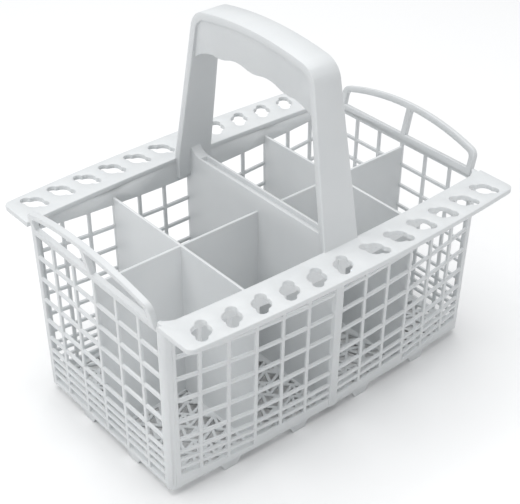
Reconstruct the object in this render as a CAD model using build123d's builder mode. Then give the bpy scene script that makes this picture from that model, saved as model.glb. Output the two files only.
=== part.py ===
from build123d import *

import os
from math import cos, radians, sin, tan

# Dishwasher cutlery basket: one moulding with lattice walls, slotted flanges, dividers and a handle.
# Millimetres. X runs along the basket, Y across it and Z up. The origin is on the table, under the middle.

# Tub
length = 240.0            # over the end walls, at the rim
end_width = 130.0         # over the long walls at the corners, at the rim
side_bow = 4.5            # how far each long wall bulges at its middle
rim_height = 124.0        # flange tops above the table
foot_height = 6.0
draft = 1.0               # outward lean of every wall, in degrees
wall = 1.8                # thickness of the lattice walls
post = 6.0                # side of a corner post, an angle round the corner
post_wall = 2.6
post_chamfer = 2.4        # on its outer corner
post_ease = 1.0           # on both edges of that chamfer
post_lap = 1.0            # how far a wall runs into a post
post_toe = 1.0            # how far a post reaches below the walls

# Lattice: rows of windows that run level round the ends and sag along the long walls
bar = 2.3                 # width of a lattice bar
bay = 18.9                # along a long wall, either side of its cross divider
end_bay = 20.6
base_band = 2.7           # solid band round the foot of the walls
fine_start = 9.0          # lowest bar above the foot of the walls, at the corners
fine_pitch = 6.0
fine_bars = 4
row_shares = (0.62, 0.86, 1, 1, 1, 1)    # heights of the rows above the fine ones, against the tallest
rim_band = 7.5            # solid band under the rim, at the corners
row_sag = 9.5             # drop of the rows at the middle of a long wall
least_gap = 2.9           # windows lower than this are left solid
window_edge = 0.6         # strip of wall beside a corner post
centre_pilaster = 6.0     # thick bar in the middle of a long wall
pilaster_proud = 0.6
pilaster_edge = 0.4       # strip of wall beside it

# Flanges along the long walls
flange_overhang = 24.0    # past the long wall, at the ends
flange_bow = 5.5
flange_thickness = 3.2
flange_lip = 0.5          # inner edge of a flange past the inside of the wall
flange_corner = 4.5
flange_reach = 2.0        # ends of a flange past the end walls
hole_diameter = 11.0
hole_sides = 12           # flats round a hole
slot_length = 17.0
slot_width = 6.4
slot_angle = 35.0         # slant of a slot away from the middle of the basket
holes_per_half = 6
hole_pitch = 18.9
centre_hole_gap = 24.4
hole_offset = 13.1        # from the outside of the wall to the line of holes

# Arched loops on the end walls
arch_half_width = 58.0
arch_drop = 1.0           # foot bar of a loop below the flange tops
arch_rise = 11.7          # ends of the arched bar above the foot bar
arch_crown = 9.3          # middle of the arch above its ends
arch_bar = 4.0
arch_depth = 3.5
arch_lean = 13.0          # degrees outward
arch_shoulder = 6.0
arch_inner = 3.5          # radius inside the shoulders

# Dividers and floor
divider = 1.8
divider_drop = 9.5        # top of the dividers below the flange tops
trough_width = 7.4        # over the double wall under the handle
trough_wall = 1.6
trough_rise = 1.6         # lips of the double wall above the flange tops
trough_depth = 3.0
trough_fillet = 9.0
floor_raise = 0.4         # underside of the floor above the foot of the walls
floor_thickness = 2.0
floor_rib = 2.6           # width of the zigzag ribs between the floor's triangles
floor_rows = 2            # in each compartment
floor_teeth = 2           # standing triangles in a row

# Feet
foot_width = 16.0
foot_taper = 3.5
foot_depth = 2.4
foot_inset = 1.0          # back from the outside of the wall
feet_long = 4
long_foot_pitch = 51.0
end_foot_pitch = 46.0

# Handle
handle_height = 231.5     # top of the grip above the table, at its middle
handle_set = 1.0          # outside of a leg back from the outside of the wall, at the rim
handle_top_half = 51.0    # the same face carried up to the ends of the grip, from the middle
grip_crown = 5.6          # middle of the grip above its ends
handle_strap = 4.5
handle_lap = 13.5         # how far the legs reach down the inside of the band
handle_foot_width = 25.0
handle_grip_width = 18.0
handle_shoulder = 13.0
web = 2.0                 # panel under each edge of the grip
web_inset = 1.2           # back from the edge of the grip strap
web_depth = 25.2          # top of the grip to the finger edge, at the middle
web_tail = 41.5           # top of the grip to where the panel runs out on a leg
web_knee = 31.2           # top of the grip to the bend of the panel's edge beside a leg
finger_span = 70.0
finger_waves = 5
finger_swing = 1.0

# Positions that follow from the sizes above
lean_sine = sin(radians(draft))
lean_cosine = cos(radians(draft))
slope = tan(radians(draft))
wall_height = rim_height - foot_height
wall_slant = wall_height / lean_cosine
floor_mid = foot_height + floor_raise + floor_thickness / 2
divider_top = rim_height - divider_drop
trough_top = rim_height + trough_rise
trough_bed = trough_top - trough_depth


def bow(x):
    """Bulge of a long wall at a place along it."""
    return side_bow * (1 - (2 * x / length) ** 2)


def half_width(x, z):
    """Outside of a long wall, from the middle plane."""
    return end_width / 2 + bow(x) - slope * (rim_height - z)


def half_length(z):
    """Outside of an end wall, from the middle plane."""
    return length / 2 - slope * (rim_height - z)


# Rows of windows up a wall from its foot, as they are at the corners
lines = [fine_start + step * fine_pitch for step in range(fine_bars)]
tall_row = (wall_slant - rim_band - lines[-1]) / sum(row_shares)
for share in row_shares:
    lines.append(lines[-1] + share * tall_row)
row_bottoms = [base_band] + [line + bar / 2 for line in lines[:-1]]
row_tops = [line - bar / 2 for line in lines[:-1]] + [lines[-1]]


def sag(x):
    """Drop of a long wall's rows at a place along it."""
    return row_sag * (1 - (2 * x / length) ** 2)


def level(x):
    """The rows of an end wall don't drop."""
    return 0


def windows(first, bars, last, drop):
    """Windows of both halves of a wall, between the bars of a half and on to a leaning last edge."""
    lefts = [first] + [place + bar / 2 for place in bars]
    rights = [place - bar / 2 for place in bars] + [last]
    outlines = []
    for left, right in zip(lefts, rights):
        lean = slope if right == last else 0
        for bottom, top in zip(row_bottoms, row_tops):
            low_left, low_right = [max(base_band, bottom - drop(x)) for x in (left, right)]
            high_left, high_right = [top - drop(x) for x in (left, right)]
            if min(high_left - low_left, high_right - low_right) > least_gap:
                outline = [(left, low_left), (right - lean * (wall_slant - low_right), low_right)]
                outline += [(right - lean * (wall_slant - high_right), high_right), (left, high_left)]
                outlines.append([(x, z - wall_slant) for x, z in outline])
    return outlines + [[(-x, z) for x, z in reversed(outline)] for outline in outlines]


# A long wall, on its lean: four flat stretches along the bow, with a grid of windows
lean_top = Vector(0, -end_width / 2, rim_height)
lean_plan = Plane(origin=lean_top, x_dir=(1, 0, 0), z_dir=(0, -lean_sine, lean_cosine))
lean_face = Plane(origin=lean_top, x_dir=(1, 0, 0), z_dir=(0, -lean_cosine, -lean_sine))
panel_half = length / 2 - post + post_lap
panel_top = flange_thickness / 2
stations = (-panel_half, -length / 4, 0, length / 4, panel_half)

with BuildPart() as long_wall:
    with BuildSketch(lean_plan.offset(-panel_top)):
        with BuildLine():
            outside = [(x, -bow(x)) for x in stations]
            inside = [(x, wall - bow(x)) for x in reversed(stations)]
            Polyline(*outside, *inside, close=True)
        make_face()
    extrude(amount=panel_top - wall_slant)
    with BuildSketch(lean_face.offset(side_bow)):
        bars = [length / 4 + step * bay for step in (-2, -1, 0, 1, 2)]
        first = centre_pilaster / 2 + pilaster_edge
        outlines = windows(first, bars, length / 2 - post - window_edge, sag)
        add([Polygon(*outline, align=None, mode=Mode.PRIVATE) for outline in outlines])
    extrude(amount=-side_bow - 2 * wall, mode=Mode.SUBTRACT)
    with BuildSketch(lean_plan.offset(-panel_top)):
        with Locations((0, (wall - pilaster_proud) / 2 - side_bow)):
            Rectangle(centre_pilaster, wall + pilaster_proud)
    extrude(amount=panel_top - wall_slant)

# An end wall, on its lean, with its own grid of windows
end_half = end_width / 2 - post + post_lap
end_top = arch_drop + arch_bar / 2
end_face = Plane(origin=(length / 2, 0, rim_height), x_dir=(0, 1, 0), z_dir=(lean_cosine, 0, -lean_sine))

with BuildPart() as end_wall:
    with BuildSketch(end_face):
        Polygon(
            (end_half, -end_top),
            (-end_half, -end_top),
            (slope * wall_slant - end_half, -wall_slant),
            (end_half - slope * wall_slant, -wall_slant),
            align=None,
        )
        outlines = windows(bar / 2, (end_bay, 2 * end_bay), end_width / 2 - post - window_edge, level)
        add([Polygon(*outline, align=None, mode=Mode.PRIVATE) for outline in outlines], mode=Mode.SUBTRACT)
    extrude(amount=-wall)

# A loop along the top of an end wall: a foot bar and an arched bar with three posts, leaning outward
arch_plane = Plane(
    origin=(length / 2 - wall / 2, 0, rim_height - arch_drop - arch_bar),
    x_dir=(0, 1, 0),
    z_dir=(cos(radians(arch_lean)), 0, -sin(radians(arch_lean))),
)
arch_ends = arch_bar + arch_rise
arch_top = arch_ends + arch_crown

with BuildPart() as end_arch:
    with BuildSketch(arch_plane):
        with BuildLine():
            ThreePointArc((-arch_half_width, arch_ends), (0, arch_top), (arch_half_width, arch_ends))
            Polyline(
                (arch_half_width, arch_ends),
                (arch_half_width, 0),
                (-arch_half_width, 0),
                (-arch_half_width, arch_ends),
            )
        make_face()
        offset(amount=-arch_bar, mode=Mode.SUBTRACT)
        fillet(vertices().group_by(Axis.Y)[-2], arch_inner)
        fillet(vertices().group_by(Axis.Y)[-1], arch_shoulder)
        with Locations((0, (arch_top - arch_bar / 2) / 2)):
            Rectangle(arch_bar, arch_top - arch_bar / 2)
    extrude(amount=arch_depth / 2, both=True)

# A corner post, following the lean of both walls
post_lean = Vector(slope, slope, 1)
post_bottom = foot_height - post_toe

with BuildPart() as corner_post:
    with BuildSketch(Plane.XY.offset(post_bottom)):
        with Locations((half_length(post_bottom) - post / 2, half_width(length / 2, post_bottom) - post / 2)):
            Rectangle(post, post)
        chamfer(vertices().sort_by(lambda corner: corner.X + corner.Y)[-1], post_chamfer)
        chamfer(vertices().sort_by(lambda corner: corner.X + corner.Y)[-2:], post_ease)
        inner = (half_length(post_bottom) - post_wall, half_width(length / 2, post_bottom) - post_wall)
        with Locations(inner):
            Rectangle(post, post, align=(Align.MAX, Align.MAX), mode=Mode.SUBTRACT)
    extrude(amount=(rim_height - post_bottom) * post_lean.length, dir=post_lean)

# A flange with its two groups of slotted holes
flange_half = length / 2 + flange_reach
flange_root = end_width / 2 - wall - flange_lip
flange_edge = end_width / 2 + flange_overhang

with BuildPart() as flange:
    with BuildSketch(Plane.XY.offset(rim_height - flange_thickness)):
        with BuildLine():
            for side, swell in ((-flange_root, side_bow), (-flange_edge, flange_bow)):
                ThreePointArc((-flange_half, side), (0, side - swell), (flange_half, side))
            for end in (-flange_half, flange_half):
                Line((end, -flange_root), (end, -flange_edge))
        make_face()
        fillet(vertices().sort_by(Axis.Y)[:2], flange_corner)
        for side in (-1, 1):
            holes = [side * (centre_hole_gap / 2 + step * hole_pitch) for step in range(holes_per_half)]
            with Locations(*[(x, -half_width(x, rim_height) - hole_offset) for x in holes]):
                turn = side * slot_angle
                RegularPolygon(hole_diameter / 2, hole_sides, rotation=turn, mode=Mode.SUBTRACT)
                Rectangle(slot_width, slot_length, rotation=turn, mode=Mode.SUBTRACT)
    extrude(amount=flange_thickness)

# A foot: a tapered block under the base band
with BuildPart() as foot:
    with BuildSketch(Plane.XZ):
        Polygon(
            (-foot_width / 2 + foot_taper, 0),
            (foot_width / 2 - foot_taper, 0),
            (foot_width / 2, foot_height + floor_raise),
            (foot_width / 2, floor_mid),
            (-foot_width / 2, floor_mid),
            (-foot_width / 2, foot_height + floor_raise),
            align=None,
        )
    extrude(amount=-foot_depth)

# A long side: wall, flange, its two posts and its feet
with BuildPart() as long_side:
    near_post = mirror(corner_post.part, about=Plane.XZ, mode=Mode.PRIVATE)
    add([long_wall.part, flange.part, near_post, mirror(near_post, about=Plane.YZ, mode=Mode.PRIVATE)])
    feet = [(step + 0.5 - feet_long / 2) * long_foot_pitch for step in range(feet_long)]
    with Locations(*[(x, foot_inset - half_width(x, foot_height), 0) for x in feet]):
        add(foot.part)

# An end: wall, loop and its feet
with BuildPart() as end_side:
    add([end_wall.part, end_arch.part])
    feet = [(half_length(foot_height) - foot_inset, side * end_foot_pitch / 2, 0) for side in (-1, 1)]
    with Locations(*[Location(place, (0, 0, 90)) for place in feet]):
        add(foot.part)

# The floor: a bowed plate inside the walls, with rows of triangles between zigzag ribs in each compartment
floor_half = half_length(foot_height) - wall / 2
floor_end = half_width(length / 2, foot_height) - wall / 2
floor_edge = [(x, half_width(x, foot_height) - wall / 2) for x in (-floor_half, *stations[1:-1], floor_half)]
cell_length = floor_half - wall / 2 - length / 4 - divider / 2
cell_width = floor_end - wall / 2 - divider / 2
inner_cell = (trough_width / 2 + length / 4 - divider / 2) / 2
outer_cell = length / 4 + divider / 2 + cell_length / 2
side_cell = divider / 2 + cell_width / 2
cells = [(x, y) for x in (-outer_cell, -inner_cell, inner_cell, outer_cell) for y in (-side_cell, side_cell)]
tooth = cell_length / floor_teeth
tooth_row = cell_width / floor_rows
tooth_flank = (tooth**2 / 4 + tooth_row**2) ** 0.5
tooth_shrink = 1 - floor_rib / 2 * (tooth + 2 * tooth_flank) / (tooth * tooth_row)
window_base = tooth * tooth_shrink
window_height = tooth_row * tooth_shrink

with BuildPart() as floor:
    with BuildSketch(Plane.XY.offset(foot_height + floor_raise)):
        with BuildLine():
            Polyline(*floor_edge, *[(x, -y) for x, y in reversed(floor_edge)], close=True)
        make_face()
        with Locations(*cells):
            for turn, count in ((1, floor_teeth), (-1, floor_teeth - 1)):
                with Locations((0, -turn * tooth_row / 6)):
                    with GridLocations(tooth, tooth_row, count, floor_rows):
                        Polygon(
                            (-window_base / 2, -turn * window_height / 3),
                            (window_base / 2, -turn * window_height / 3),
                            (0, turn * window_height * 2 / 3),
                            align=None,
                            mode=Mode.SUBTRACT,
                        )
    extrude(amount=floor_thickness)

# Plain dividers: one across the middle of each half, and one along the middle
with BuildPart() as cross_divider:
    with BuildSketch(Plane.YZ.offset(length / 4)):
        low = half_width(length / 4, floor_mid) - wall / 2
        high = half_width(length / 4, divider_top) - wall / 2
        Polygon((-low, floor_mid), (low, floor_mid), (high, divider_top), (-high, divider_top), align=None)
    extrude(amount=divider / 2, both=True)

with BuildPart() as long_divider:
    with BuildSketch(Plane.XZ):
        start = trough_width / 2 - trough_wall / 2
        low = half_length(floor_mid) - wall / 2
        high = half_length(divider_top) - wall / 2
        Polygon((start, floor_mid), (low, floor_mid), (high, divider_top), (start, divider_top), align=None)
    extrude(amount=divider / 2, both=True)

# The double wall under the handle, with a trough along its top that sweeps up to the legs
handle_foot_half = half_width(0, rim_height) - handle_set
leg_inside = handle_foot_half - handle_strap
leg_middle = handle_foot_half - handle_strap / 2
leg_bottom = rim_height - handle_lap

with BuildPart() as double_wall:
    with BuildSketch(Plane.YZ):
        low = half_width(0, floor_mid) - wall / 2
        high = half_width(0, leg_bottom) - wall / 2
        with BuildLine():
            end = [(low, floor_mid), (high, leg_bottom), (leg_middle, leg_bottom), (leg_middle, trough_top)]
            Polyline(*end, *[(-y, z) for y, z in reversed(end)], close=True)
        make_face()
    extrude(amount=trough_width / 2, both=True)
    with BuildSketch(Plane.XY.offset(trough_top)):
        Rectangle(trough_width - 2 * trough_wall, 2 * handle_foot_half)
    extrude(amount=-trough_depth, mode=Mode.SUBTRACT)
    for side in (Plane.YZ, Plane(origin=(0, 0, 0), x_dir=(0, -1, 0), z_dir=(-1, 0, 0))):
        with BuildSketch(side):
            with BuildLine():
                CenterArc((leg_inside - trough_fillet, trough_top + trough_fillet), trough_fillet, -90, 90)
                Polyline(
                    (leg_inside, trough_top + trough_fillet),
                    (leg_middle, trough_top + trough_fillet),
                    (leg_middle, trough_bed),
                    (leg_inside - trough_fillet, trough_bed),
                    (leg_inside - trough_fillet, trough_top),
                )
            make_face()
        extrude(amount=trough_width / 2, both=True)

# The handle: a strap bent over the basket, narrower at the grip
grip_end = handle_height - grip_crown
leg_run = (handle_foot_half - handle_top_half) / (grip_end - rim_height)


def leg_outside(z):
    """Outside of a leg above the rim, from the middle plane."""
    return handle_foot_half - leg_run * (z - rim_height)


def grip_drop(y):
    """Fall of the grip from its middle."""
    return grip_crown * (y / handle_top_half) ** 2


with BuildPart() as handle:
    with BuildSketch(Plane.YZ):
        for inset, mode in ((0, Mode.ADD), (handle_strap, Mode.SUBTRACT)):
            foot_half = handle_foot_half - inset
            end = grip_end - inset
            end_half = leg_outside(end) - inset
            with BuildSketch(mode=Mode.PRIVATE) as outline:
                with BuildLine():
                    leg = [(end_half, end), (foot_half, rim_height), (foot_half, leg_bottom)]
                    Polyline(*leg, *[(-y, z) for y, z in reversed(leg)])
                    ThreePointArc((-end_half, end), (0, handle_height - inset), (end_half, end))
                make_face()
                fillet(outline.vertices().group_by(Axis.Y)[-1], handle_shoulder - inset)
            add(outline.sketch, mode=mode)
    extrude(amount=handle_foot_width / 2, both=True)
    with BuildSketch(Plane.XZ):
        Polygon(
            (-handle_foot_width / 2, leg_bottom),
            (handle_foot_width / 2, leg_bottom),
            (handle_foot_width / 2, rim_height),
            (handle_grip_width / 2, handle_height),
            (-handle_grip_width / 2, handle_height),
            (-handle_foot_width / 2, rim_height),
            align=None,
        )
    extrude(amount=handle_foot_half, both=True, mode=Mode.INTERSECT)

# A panel under one edge of the grip, with a wavy edge for the fingers
finger_edge = handle_height - web_depth
tail = handle_height - web_tail
tail_half = leg_outside(tail) - handle_strap / 2
knee = handle_height - web_knee
knee_half = leg_outside(knee) - handle_strap / 2
crest = handle_height - handle_strap / 2
crest_end = grip_end - handle_strap / 2
crest_half = leg_outside(crest_end) - handle_strap / 2
wave = finger_span / finger_waves
wave_ends = [(step - finger_waves / 2) * wave for step in range(finger_waves + 1)]

with BuildPart() as grip_panel:
    with BuildSketch(Plane.YZ.offset(handle_grip_width / 2 - web_inset)):
        with BuildLine():
            Polyline((crest_half, crest_end), (tail_half, tail), (-tail_half, tail), (-crest_half, crest_end))
            ThreePointArc((-crest_half, crest_end), (0, crest), (crest_half, crest_end))
        make_face()
        fillet(vertices().group_by(Axis.Y)[-1], handle_shoulder - handle_strap / 2)
        with BuildLine():
            swing = -finger_swing
            for start, end in zip(wave_ends[:-1], wave_ends[1:]):
                low, high = [finger_edge - grip_drop(y) for y in (start, end)]
                ThreePointArc((start, low), ((start + end) / 2, (low + high) / 2 + swing), (end, high))
                swing = -swing
            for side in (-1, 1):
                edge_end = (side * wave_ends[-1], finger_edge - grip_drop(wave_ends[-1]))
                Bezier(edge_end, (side * knee_half, knee), (side * tail_half, tail))
            Line((-tail_half, tail), (tail_half, tail))
        make_face(mode=Mode.SUBTRACT)
    extrude(amount=-web)

# The whole moulding
with BuildPart() as cutlery_basket:
    along = [long_side.part, mirror(long_side.part, about=Plane.XZ, mode=Mode.PRIVATE)]
    ends = [end_side.part, cross_divider.part, long_divider.part, grip_panel.part]
    ends += [mirror(piece, about=Plane.YZ, mode=Mode.PRIVATE) for piece in ends]
    add([floor.part, *along, *ends, double_wall.part, handle.part])
    with BuildSketch(Plane.XY.offset(foot_height)):
        Rectangle(trough_width - 2 * trough_wall, 2 * (half_width(0, foot_height) - wall - trough_wall))
    extrude(amount=trough_bed - trough_wall - foot_height, mode=Mode.SUBTRACT)

os.makedirs("parts", exist_ok=True)
cutlery_basket.part.label = "cutlery_basket"
export_step(cutlery_basket.part, "parts/cutlery_basket.step")
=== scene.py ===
from math import atan2, cos, pi, radians, sin

import bmesh
import bpy
import numpy as np
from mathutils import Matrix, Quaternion, Vector
from mathutils.geometry import area_tri, delaunay_2d_cdt


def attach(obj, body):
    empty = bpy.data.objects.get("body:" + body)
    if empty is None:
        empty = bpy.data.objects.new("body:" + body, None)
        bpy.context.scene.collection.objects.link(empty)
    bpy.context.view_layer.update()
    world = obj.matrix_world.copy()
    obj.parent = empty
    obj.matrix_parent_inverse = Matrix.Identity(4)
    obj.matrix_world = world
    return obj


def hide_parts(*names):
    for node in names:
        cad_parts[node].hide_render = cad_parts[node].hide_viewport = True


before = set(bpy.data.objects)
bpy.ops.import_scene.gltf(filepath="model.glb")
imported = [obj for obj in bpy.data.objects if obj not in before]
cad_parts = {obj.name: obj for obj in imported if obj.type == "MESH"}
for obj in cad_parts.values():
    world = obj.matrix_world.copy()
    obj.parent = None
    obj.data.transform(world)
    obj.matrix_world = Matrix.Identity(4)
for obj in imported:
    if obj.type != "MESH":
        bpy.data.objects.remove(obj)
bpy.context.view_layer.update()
scene = bpy.context.scene

# Moulded edges
edge_round = 0.0004             # largest radius that the mould leaves on an edge
edge_steps = 2
edge_angle = radians(25)        # facets of a curve meet at less than this and stay smooth
strip_share = 0.45              # most of a strip's width that one rounded edge may take
full_room = edge_round / strip_share
edge_samples = (0.1, 0.5, 0.9)  # parts of an edge's length where the room beside it is measured
same_way = 0.95                 # cosine between two lines that count as running along each other

# Slack for measures on the mesh
weld_distance = 2e-6
level_slack = 1e-5
flat_normal = 0.99
end_slack = 0.01                # share of an edge's length past its ends
least_closing = 1e-9
millimetres = 1000              # scale for the triangulation of plates
plate_slack = 1e-5
whole_plate = 0                 # triangulation that keeps every triangle between the points

# Flanges, with slotted holes
rim_level = 0.124
flange_underside = 0.1208
half_length = 0.12
hole_radius = 0.0055
slot_half_width = 0.0032
slot_half_length = 0.0089
slot_slant = radians(35)
first_hole = 0.0122             # from the middle of the basket
hole_pitch = 0.0189
holes_per_half = 6
hole_line = 0.0781              # from the middle plane, at the ends of a flange
hole_line_bow = 0.0045
hole_reach = 0.0094             # furthest side of a hole from its centre
hole_ease = 0.001               # radius of the corners between a hole and its slot
arc_steps = 12
ease_steps = 4

# Rounded inner corners of the rim
rim_corner_start = (0.1105, 0.0636)     # on the flange
rim_corner_end = (0.1177, 0.0596)       # on the corner post
rim_corner_bulge = 0.0005
rim_corner_back = [(0.1182, 0.0598), (0.1182, 0.0620), (0.1160, 0.0645), (0.1105, 0.0643)]

# Floor, with triangular gaps between diagonal ribs
floor_top = 0.0084
floor_underside = 0.0064
gap_pitch = 0.0090
gap_strip = 0.0110
gap_rib = 0.0020
gap_strips = 15
gaps_in_strip = 20
gap_limit = 0.115               # no gap of the floor reaches further from the middle
least_gap_edge = 0.0010
least_gap_area = 4e-6
compartments = (
    [(0.0053, 0.0025), (0.0575, 0.0025), (0.0575, 0.0624), (0.0053, 0.0628)],
    [(0.0625, 0.0025), (0.1130, 0.0025), (0.1130, 0.0593), (0.0625, 0.0609)],
)

# Places too small for rounded edges
post_foot = (0.1144, 0.0615)    # the corner posts stand outside these lines at the floor
post_foot_low = 0.0055
floor_tip = (0.1169, 0.0620)    # the floor's corner tips lie outside these lines
loop_foot_across = (0.0579, 0.0590)
loop_foot_height = (0.1185, 0.1211)

# White polypropylene
plastic_shade = (0.68, 0.70, 0.71, 1.0)
plastic_light = (0.75, 0.765, 0.77, 1.0)
cloud_scale = 38.0
cloud_detail = 3.0
grain_scale = 2600.0
grain_detail = 2.0
grain_height = 0.3              # beside the cloud's height of 1
ripple_strength = 0.12
ripple_depth = 0.0002
least_roughness = 0.3
cloud_roughness = 0.1
grain_roughness = 0.06
plastic_index = 1.49
glow_weight = 0.12
glow_radius = (1.0, 0.95, 0.9)
glow_depth = 0.002

# Studio
paper_shade = (0.96, 0.96, 0.96, 1.0)
paper_light = (0.98, 0.98, 0.98, 1.0)
paper_roughness = 0.85
fibre_scale = 4.0
fibre_detail = 2.0
paper_reach = 20.0              # from the middle to each side
sky_colour = (0.97, 0.985, 1.0, 1.0)
sky_strength = 0.52
light_aim = (0, 0, 0.1)

# Camera, at the photograph's view
eye = Vector((-0.3991, -0.4671, 0.5033))
sight = Vector((0.5355, 0.6284, -0.5642))
roll = radians(0.38)
image_width = 520
focal_pixels = 1223.7
sensor_width = 36.0
nearest_seen = 0.01


class Wire:
    """A socket of a material: expressions on it add Math nodes, and any other node comes from add."""

    def __init__(self, socket):
        self.socket = socket

    @classmethod
    def add(cls, tree, kind, settings=None, inputs=None, output=0):
        node = tree.nodes.new(kind)
        for name, value in (settings or {}).items():
            setattr(node, name, value)
        for name, value in (inputs or {}).items():
            if isinstance(value, cls):
                tree.links.new(value.socket, node.inputs[name])
            else:
                node.inputs[name].default_value = value
        return cls(node.outputs[output])

    def maths(self, operation, other):
        tree = self.socket.id_data
        return Wire.add(tree, "ShaderNodeMath", {"operation": operation}, {0: self, 1: other})

    def __add__(self, other):
        return self.maths("ADD", other)

    __radd__ = __add__

    def __mul__(self, other):
        return self.maths("MULTIPLY", other)

    __rmul__ = __mul__


def new_material(name):
    """A material with nothing but its output node, and its tree to build on."""
    material = bpy.data.materials.new(name)
    material.use_nodes = True
    tree = material.node_tree
    tree.nodes.remove(tree.nodes["Principled BSDF"])
    return material, tree


def noise(tree, scale, detail):
    """Cloudy noise in the object's own space."""
    place = Wire.add(tree, "ShaderNodeTexCoord", output="Object")
    return Wire.add(tree, "ShaderNodeTexNoise", inputs={"Vector": place, "Scale": scale, "Detail": detail})


def mixed_colour(tree, factor, first, second):
    """A colour between two others."""
    first_colour, second_colour, result_colour = 6, 7, 2    # the Mix node's sockets for colours
    inputs = {"Factor": factor, first_colour: first, second_colour: second}
    return Wire.add(tree, "ShaderNodeMix", {"data_type": "RGBA"}, inputs, output=result_colour)


def show_surface(tree, inputs):
    """Put a Principled shader with these inputs on the material's output."""
    shader = Wire.add(tree, "ShaderNodeBsdfPrincipled", inputs=inputs)
    tree.links.new(shader.socket, tree.nodes["Material Output"].inputs["Surface"])


def white_polypropylene():
    """Satin white polypropylene: slightly cloudy, with the mould's fine grain in its gloss."""
    material, tree = new_material("white_polypropylene")
    cloud = noise(tree, cloud_scale, cloud_detail)
    grain = noise(tree, grain_scale, grain_detail)
    height = grain * grain_height + cloud
    ripple = {"Strength": ripple_strength, "Distance": ripple_depth, "Height": height}
    show_surface(
        tree,
        {
            "Base Color": mixed_colour(tree, cloud, plastic_shade, plastic_light),
            "Roughness": least_roughness + cloud_roughness * cloud + grain_roughness * grain,
            "Normal": Wire.add(tree, "ShaderNodeBump", inputs=ripple),
            "IOR": plastic_index,
            "Subsurface Weight": glow_weight,
            "Subsurface Radius": glow_radius,
            "Subsurface Scale": glow_depth,
        },
    )
    return material


def studio_paper():
    """Matt white paper under the basket."""
    material, tree = new_material("studio_paper")
    tone = mixed_colour(tree, noise(tree, fibre_scale, fibre_detail), paper_shade, paper_light)
    show_surface(tree, {"Base Color": tone, "Roughness": paper_roughness})
    return material


def arc(centre, radius, start, end, steps):
    """Points along an arc, with both of its ends."""
    angles = [start + (end - start) * step / steps for step in range(steps + 1)]
    return [Vector((centre[0] + radius * cos(angle), centre[1] + radius * sin(angle))) for angle in angles]


def hole_centres():
    """Centres of the flange holes, with the slant of each hole's slot."""
    centres = []
    for side in (-1, 1):
        for end in (-1, 1):
            for step in range(holes_per_half):
                along = first_hole + step * hole_pitch
                across = hole_line + hole_line_bow * (1 - (along / half_length) ** 2)
                centres.append((Vector((end * along, side * across)), -side * end * slot_slant))
    return centres


def slotted_hole(centre, slant):
    """Outline of a round hole with a round-ended slot across it and eased corners between the two."""
    ease_x = slot_half_width + hole_ease
    ease_y = ((hole_radius + hole_ease) ** 2 - ease_x**2) ** 0.5
    mouth = atan2(ease_y, ease_x)
    cap = slot_half_length - slot_half_width
    half = arc((0, 0), hole_radius, -mouth, mouth, arc_steps)
    half += arc((ease_x, ease_y), hole_ease, pi + mouth, pi, ease_steps)[1:]
    half += arc((0, cap), slot_half_width, 0, pi, arc_steps)
    half += arc((-ease_x, ease_y), hole_ease, 0, -mouth, ease_steps)[:-1]
    turned = [Vector((x * cos(slant) - y * sin(slant), x * sin(slant) + y * cos(slant))) for x, y in half]
    return [centre + point for point in turned] + [centre - point for point in turned]


def clipped(outline, border):
    """The part of an outline that lies inside a convex border. Both run anticlockwise."""
    for start, end in zip(border, border[1:] + border[:1]):
        sides = [(end - start).cross(point - start) for point in outline]
        kept = []
        for place, point in enumerate(outline):
            before, side_before, side = outline[place - 1], sides[place - 1], sides[place]
            if side_before * side < 0:
                kept.append(before.lerp(point, side_before / (side_before - side)))
            if side >= 0:
                kept.append(point)
        outline = kept
    return outline


def outline_area(outline):
    """Area inside a convex outline."""
    return sum(area_tri(outline[0], a, b) for a, b in zip(outline[1:-1], outline[2:]))


def floor_gaps():
    """Outlines of the gaps between the diagonal ribs of the floor, the same in all four quarters."""
    half_pitch = gap_pitch / 2
    flank = (half_pitch**2 + gap_strip**2) ** 0.5
    inner_radius = gap_pitch * gap_strip / (gap_pitch + 2 * flank)
    shrink = 1 - gap_rib / 2 / inner_radius
    along = Vector((1, -1)).normalized()
    across = Vector((1, 1)).normalized()
    standing = [Vector(corner) for corner in ((-half_pitch, 0), (half_pitch, 0), (0, gap_strip))]
    hanging = [Vector(corner) for corner in ((gap_pitch, gap_strip), (0, gap_strip), (half_pitch, 0))]
    triangles = (
        (standing, Vector((0, inner_radius))),
        (hanging, Vector((half_pitch, gap_strip - inner_radius))),
    )
    borders = [[Vector(corner) for corner in corners] for corners in compartments]
    gaps = []
    for strip in range(gap_strips):
        for step in range(-gaps_in_strip, gaps_in_strip):
            stand = Vector((step * gap_pitch, strip * gap_strip))
            for triangle, middle in triangles:
                inset = [stand + middle + shrink * (corner - middle) for corner in triangle]
                outline = [along * run + across * rise for run, rise in inset]
                for border in borders:
                    gap = clipped(outline, border)
                    pairs = zip(gap, gap[1:] + gap[:1])
                    gap = [corner for corner, after in pairs if (corner - after).length > least_gap_edge]
                    if len(gap) > 2 and outline_area(gap) > least_gap_area:
                        gaps.append(gap)
    gaps += [[Vector((-x, y)) for x, y in reversed(gap)] for gap in gaps]
    gaps += [[Vector((x, -y)) for x, y in reversed(gap)] for gap in gaps]
    return gaps


def at_level(corner, height):
    """Whether a corner of the mesh lies at a height."""
    return abs(corner.co.z - height) < level_slack


def is_inside(point, starts, ends):
    """Whether a point lies inside closed lines: an odd number of them pass on its right."""
    level = (starts[:, 1] > point.y) != (ends[:, 1] > point.y)
    low, high = starts[level], ends[level]
    passing = low[:, 0] + (point.y - low[:, 1]) * (high[:, 0] - low[:, 0]) / (high[:, 1] - low[:, 1])
    return np.count_nonzero(passing > point.x) % 2 == 1


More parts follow.
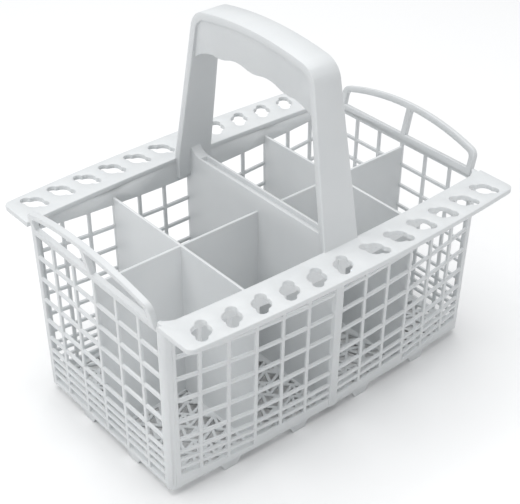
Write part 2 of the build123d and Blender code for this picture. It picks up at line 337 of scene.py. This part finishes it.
def open_edges(work, height):
    """Edges at a height with a face on one side only."""
    open_ones = [edge for edge in work.edges if edge.is_boundary]
    return [edge for edge in open_ones if all(at_level(end, height) for end in edge.verts)]


def cut_plate(work, low, high, is_old_cut, outlines):
    """Cut a flat plate of the moulding again: its plain cuts close and the outlines open."""
    plate = []
    for face in work.faces:
        if all(at_level(corner, low) or at_level(corner, high) for corner in face.verts):
            if abs(face.normal.z) > flat_normal or is_old_cut(face.calc_center_median()):
                plate.append(face)
    bmesh.ops.delete(work, geom=plate, context="FACES")
    rings = []
    for height in (high, low):
        rim = open_edges(work, height)
        corners = list(dict.fromkeys(end for edge in rim for end in edge.verts))
        number = {corner: place for place, corner in enumerate(corners)}
        lines = [(number[edge.verts[0]], number[edge.verts[1]]) for edge in rim]
        rings.append([])
        for outline in outlines:
            ring = [work.verts.new((x, y, height)) for x, y in outline]
            places = list(range(len(corners), len(corners) + len(ring)))
            lines += zip(places, places[1:] + places[:1])
            corners += ring
            rings[-1].append(ring)
        points = [corner.co.xy * millimetres for corner in corners]
        starts = np.array([points[start] for start, end in lines])
        ends = np.array([points[end] for start, end in lines])
        cut = delaunay_2d_cdt(points, lines, [], whole_plate, plate_slack)
        spots, _, triangles, origins, _, _ = cut
        for triangle in triangles:
            middle = sum((spots[place] for place in triangle), Vector((0, 0))) / 3
            if is_inside(middle, starts, ends):
                face = [corners[origins[place][0]] for place in triangle]
                work.faces.new(face if height == high else face[::-1])
    for upper, lower in zip(*rings):
        for place in range(len(upper)):
            work.faces.new((upper[place - 1], upper[place], lower[place], lower[place - 1]))


def runs_along(line, other):
    """Whether two lines run nearly the same way, or nearly opposite ways."""
    return abs(line.normalized().dot(other.normalized())) > same_way


def far_side(face, edge, point, heading):
    """The side of a face that a line from a point on its edge comes to, after how far."""
    nearest = None
    for side in face.edges:
        start, run = side.verts[0].co, side.verts[1].co - side.verts[0].co
        square = face.normal.cross(run)
        closing = heading.dot(square)
        if side is edge or abs(closing) < least_closing * run.length:
            continue
        distance = (start - point).dot(square) / closing
        share = (point + heading * distance - start).dot(run) / run.length_squared
        if distance > -level_slack and -end_slack < share < 1 + end_slack:
            if nearest is None or distance < nearest[0]:
                nearest = (distance, side)
    return nearest


def room_beside(edge, face, part):
    """How far a face runs on, square to its edge from a point of it, before a sharp edge alongside."""
    first, last = [end.co for end in edge.verts]
    line = last - first
    point = first.lerp(last, part)
    heading = face.normal.cross(line).normalized()
    if heading.dot(face.calc_center_median() - point) < 0:
        heading.negate()
    room = 0.0
    while room < full_room:
        nearest = far_side(face, edge, point, heading)
        if nearest is None:
            return full_room
        distance, edge = nearest
        room += max(distance, 0.0)
        if edge.calc_face_angle() > edge_angle:
            return room if runs_along(line, edge.verts[1].co - edge.verts[0].co) else full_room
        point = point + heading * distance
        face = [other for other in edge.link_faces if other is not face][0]
        heading = (heading - face.normal * heading.dot(face.normal)).normalized()
    return full_room


def at_post_foot(corner):
    """Whether a corner is where the floor and the base band run into a corner post."""
    x, y, z = abs(corner.co.x), abs(corner.co.y), corner.co.z
    return x > post_foot[0] and y > post_foot[1] and post_foot_low < z < floor_top + level_slack


def at_loop_foot(corner):
    """Whether a corner is where the end of a loop runs into the top of an end wall."""
    is_across = loop_foot_across[0] < abs(corner.co.y) < loop_foot_across[1]
    return is_across and loop_foot_height[0] < corner.co.z < loop_foot_height[1]


def at_floor_tip(corner):
    """Whether a corner is a tip of the floor that stands out of a corner post."""
    return at_post_foot(corner) and abs(corner.co.x) > floor_tip[0] and abs(corner.co.y) > floor_tip[1]


def trim_floor_tips(work):
    """Draw the floor's four corner tips back into the corner posts."""
    for tip in [corner for corner in work.verts if at_floor_tip(corner)]:
        beside = [edge.other_vert(tip) for edge in tip.link_edges]
        level = [corner for corner in beside if at_level(corner, tip.co.z)]
        post = min(level, key=lambda corner: abs(corner.co.y))
        bmesh.ops.pointmerge(work, verts=[tip, post], merge_co=post.co)


def is_rounded(edge):
    """Whether the mould rounds an edge: a sharp one, not upright in the floor and not at a foot."""
    low, high = sorted(edge.verts, key=lambda end: end.co.z)
    is_gap_corner = at_level(low, floor_underside) and at_level(high, floor_top)
    is_at_post = at_post_foot(low) and at_post_foot(high)
    is_at_loop = at_loop_foot(low) and at_loop_foot(high)
    return edge.calc_face_angle() > edge_angle and not (is_gap_corner or is_at_post or is_at_loop)


def weigh_edges(work):
    """Give each edge its share of the rounding, less along a line with a narrow strip beside it."""
    share = work.edges.layers.float.new("bevel_weight_edge")
    narrow = []
    for edge in work.edges:
        if is_rounded(edge):
            rooms = [room_beside(edge, face, part) for face in edge.link_faces for part in edge_samples]
            edge[share] = min(1.0, min(rooms) / full_room)
            if edge[share] < 1.0:
                narrow.append(edge)
    while narrow:
        edge = narrow.pop()
        for end in edge.verts:
            line = edge.other_vert(end).co - end.co
            for other in end.link_edges:
                if other[share] > edge[share] and runs_along(line, other.other_vert(end).co - end.co):
                    other[share] = edge[share]
                    narrow.append(other)


def rim_corners():
    """Small plates that round the rim's inner corners, one in each quarter."""
    first, last = Vector(rim_corner_start), Vector(rim_corner_end)
    outward = Vector((first.y - last.y, last.x - first.x)).normalized()
    half_run = (last - first).length / 2
    radius = (half_run**2 + rim_corner_bulge**2) / (2 * rim_corner_bulge)
    centre = first.lerp(last, 0.5) + outward * (rim_corner_bulge - radius)
    angles = [atan2(*(point - centre).yx) for point in (first, last)]
    outline = arc(centre, radius, *angles, arc_steps) + [Vector(point) for point in rim_corner_back]
    work = bmesh.new()
    for side in (-1, 1):
        for end in (-1, 1):
            lower = [work.verts.new((end * x, side * y, flange_underside)) for x, y in outline]
            upper = [work.verts.new((end * x, side * y, rim_level)) for x, y in outline]
            work.faces.new(lower)
            work.faces.new(upper)
            for place in range(len(outline)):
                work.faces.new((lower[place - 1], lower[place], upper[place], upper[place - 1]))
    bmesh.ops.recalc_face_normals(work, faces=work.faces)
    mesh = bpy.data.meshes.new("rim_corners")
    work.to_mesh(mesh)
    work.free()
    return mesh


def joined(first, second):
    """Two closed meshes as one, without the faces inside."""
    pieces = [bpy.data.objects.new(mesh.name, mesh) for mesh in (first, second)]
    for piece in pieces:
        scene.collection.objects.link(piece)
    union = pieces[0].modifiers.new("union", "BOOLEAN")
    union.operation = "UNION"
    union.solver = "EXACT"
    union.object = pieces[1]
    view = bpy.context.evaluated_depsgraph_get()
    result = bpy.data.meshes.new_from_object(pieces[0].evaluated_get(view))
    for piece in pieces:
        bpy.data.objects.remove(piece)
    return result


def detailed_moulding(solid):
    """The basket's solid as one moulding, with round slotted holes, the fine floor and rounded edges."""
    work = bmesh.new()
    work.from_mesh(solid.data)
    bmesh.ops.remove_doubles(work, verts=work.verts, dist=weld_distance)
    welded = bpy.data.meshes.new("welded_solid")
    work.to_mesh(welded)
    work.clear()
    work.from_mesh(joined(welded, rim_corners()))
    bmesh.ops.remove_doubles(work, verts=work.verts, dist=weld_distance)
    holes = hole_centres()
    cut_plate(
        work,
        flange_underside,
        rim_level,
        lambda middle: any((middle.xy - centre).length < hole_reach for centre, slant in holes),
        [slotted_hole(centre, slant) for centre, slant in holes],
    )
    cut_plate(work, floor_underside, floor_top, lambda middle: abs(middle.x) < gap_limit, floor_gaps())
    trim_floor_tips(work)
    bmesh.ops.recalc_face_normals(work, faces=work.faces)
    for face in work.faces:
        face.smooth = True
    weigh_edges(work)
    mesh = bpy.data.meshes.new("basket_moulding")
    work.to_mesh(mesh)
    work.free()
    mesh.materials.append(white_polypropylene())
    piece = bpy.data.objects.new("basket_moulding", mesh)
    scene.collection.objects.link(piece)
    edges = piece.modifiers.new("moulded edges", "BEVEL")
    edges.width = edge_round
    edges.segments = edge_steps
    edges.limit_method = "WEIGHT"
    edges.use_clamp_overlap = False
    edges.harden_normals = True
    edges.loop_slide = False
    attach(piece, "root")
    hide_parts(solid.name)


def soft_light(name, place, size, power):
    """A large soft panel of light turned to the basket."""
    lamp = bpy.data.lights.new(name, "AREA")
    lamp.shape = "SQUARE"
    lamp.size = size
    lamp.energy = power
    panel = bpy.data.objects.new(name, lamp)
    panel.location = place
    panel.rotation_mode = "QUATERNION"
    panel.rotation_quaternion = (Vector(light_aim) - Vector(place)).to_track_quat("-Z", "Y")
    scene.collection.objects.link(panel)


detailed_moulding(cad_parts["cutlery_basket"])

# Studio floor and light
paper = bpy.data.meshes.new("studio_floor")
corners = [(x * paper_reach, y * paper_reach, 0) for x, y in ((-1, -1), (1, -1), (1, 1), (-1, 1))]
paper.from_pydata(corners, [], [(0, 1, 2, 3)])
paper.materials.append(studio_paper())
studio_floor = bpy.data.objects.new("studio_floor", paper)
scene.collection.objects.link(studio_floor)

sky = bpy.data.worlds.new("studio_sky")
sky.use_nodes = True
sky.node_tree.nodes["Background"].inputs["Color"].default_value = sky_colour
sky.node_tree.nodes["Background"].inputs["Strength"].default_value = sky_strength
scene.world = sky
soft_light("overhead_panel", place=(0, 0.1, 1.6), size=1.6, power=17.0)
soft_light("left_panel", place=(-1.3, 0.1, 1.3), size=1.0, power=6.0)

# Camera
lens = bpy.data.cameras.new("photo_camera")
lens.sensor_width = sensor_width
lens.lens = sensor_width * focal_pixels / image_width
lens.clip_start = nearest_seen
camera = bpy.data.objects.new("photo_camera", lens)
camera.location = eye
camera.rotation_mode = "QUATERNION"
camera.rotation_quaternion = sight.to_track_quat("-Z", "Y") @ Quaternion((0, 0, 1), roll)
scene.collection.objects.link(camera)
scene.camera = camera
scene.view_settings.view_transform = "Standard"
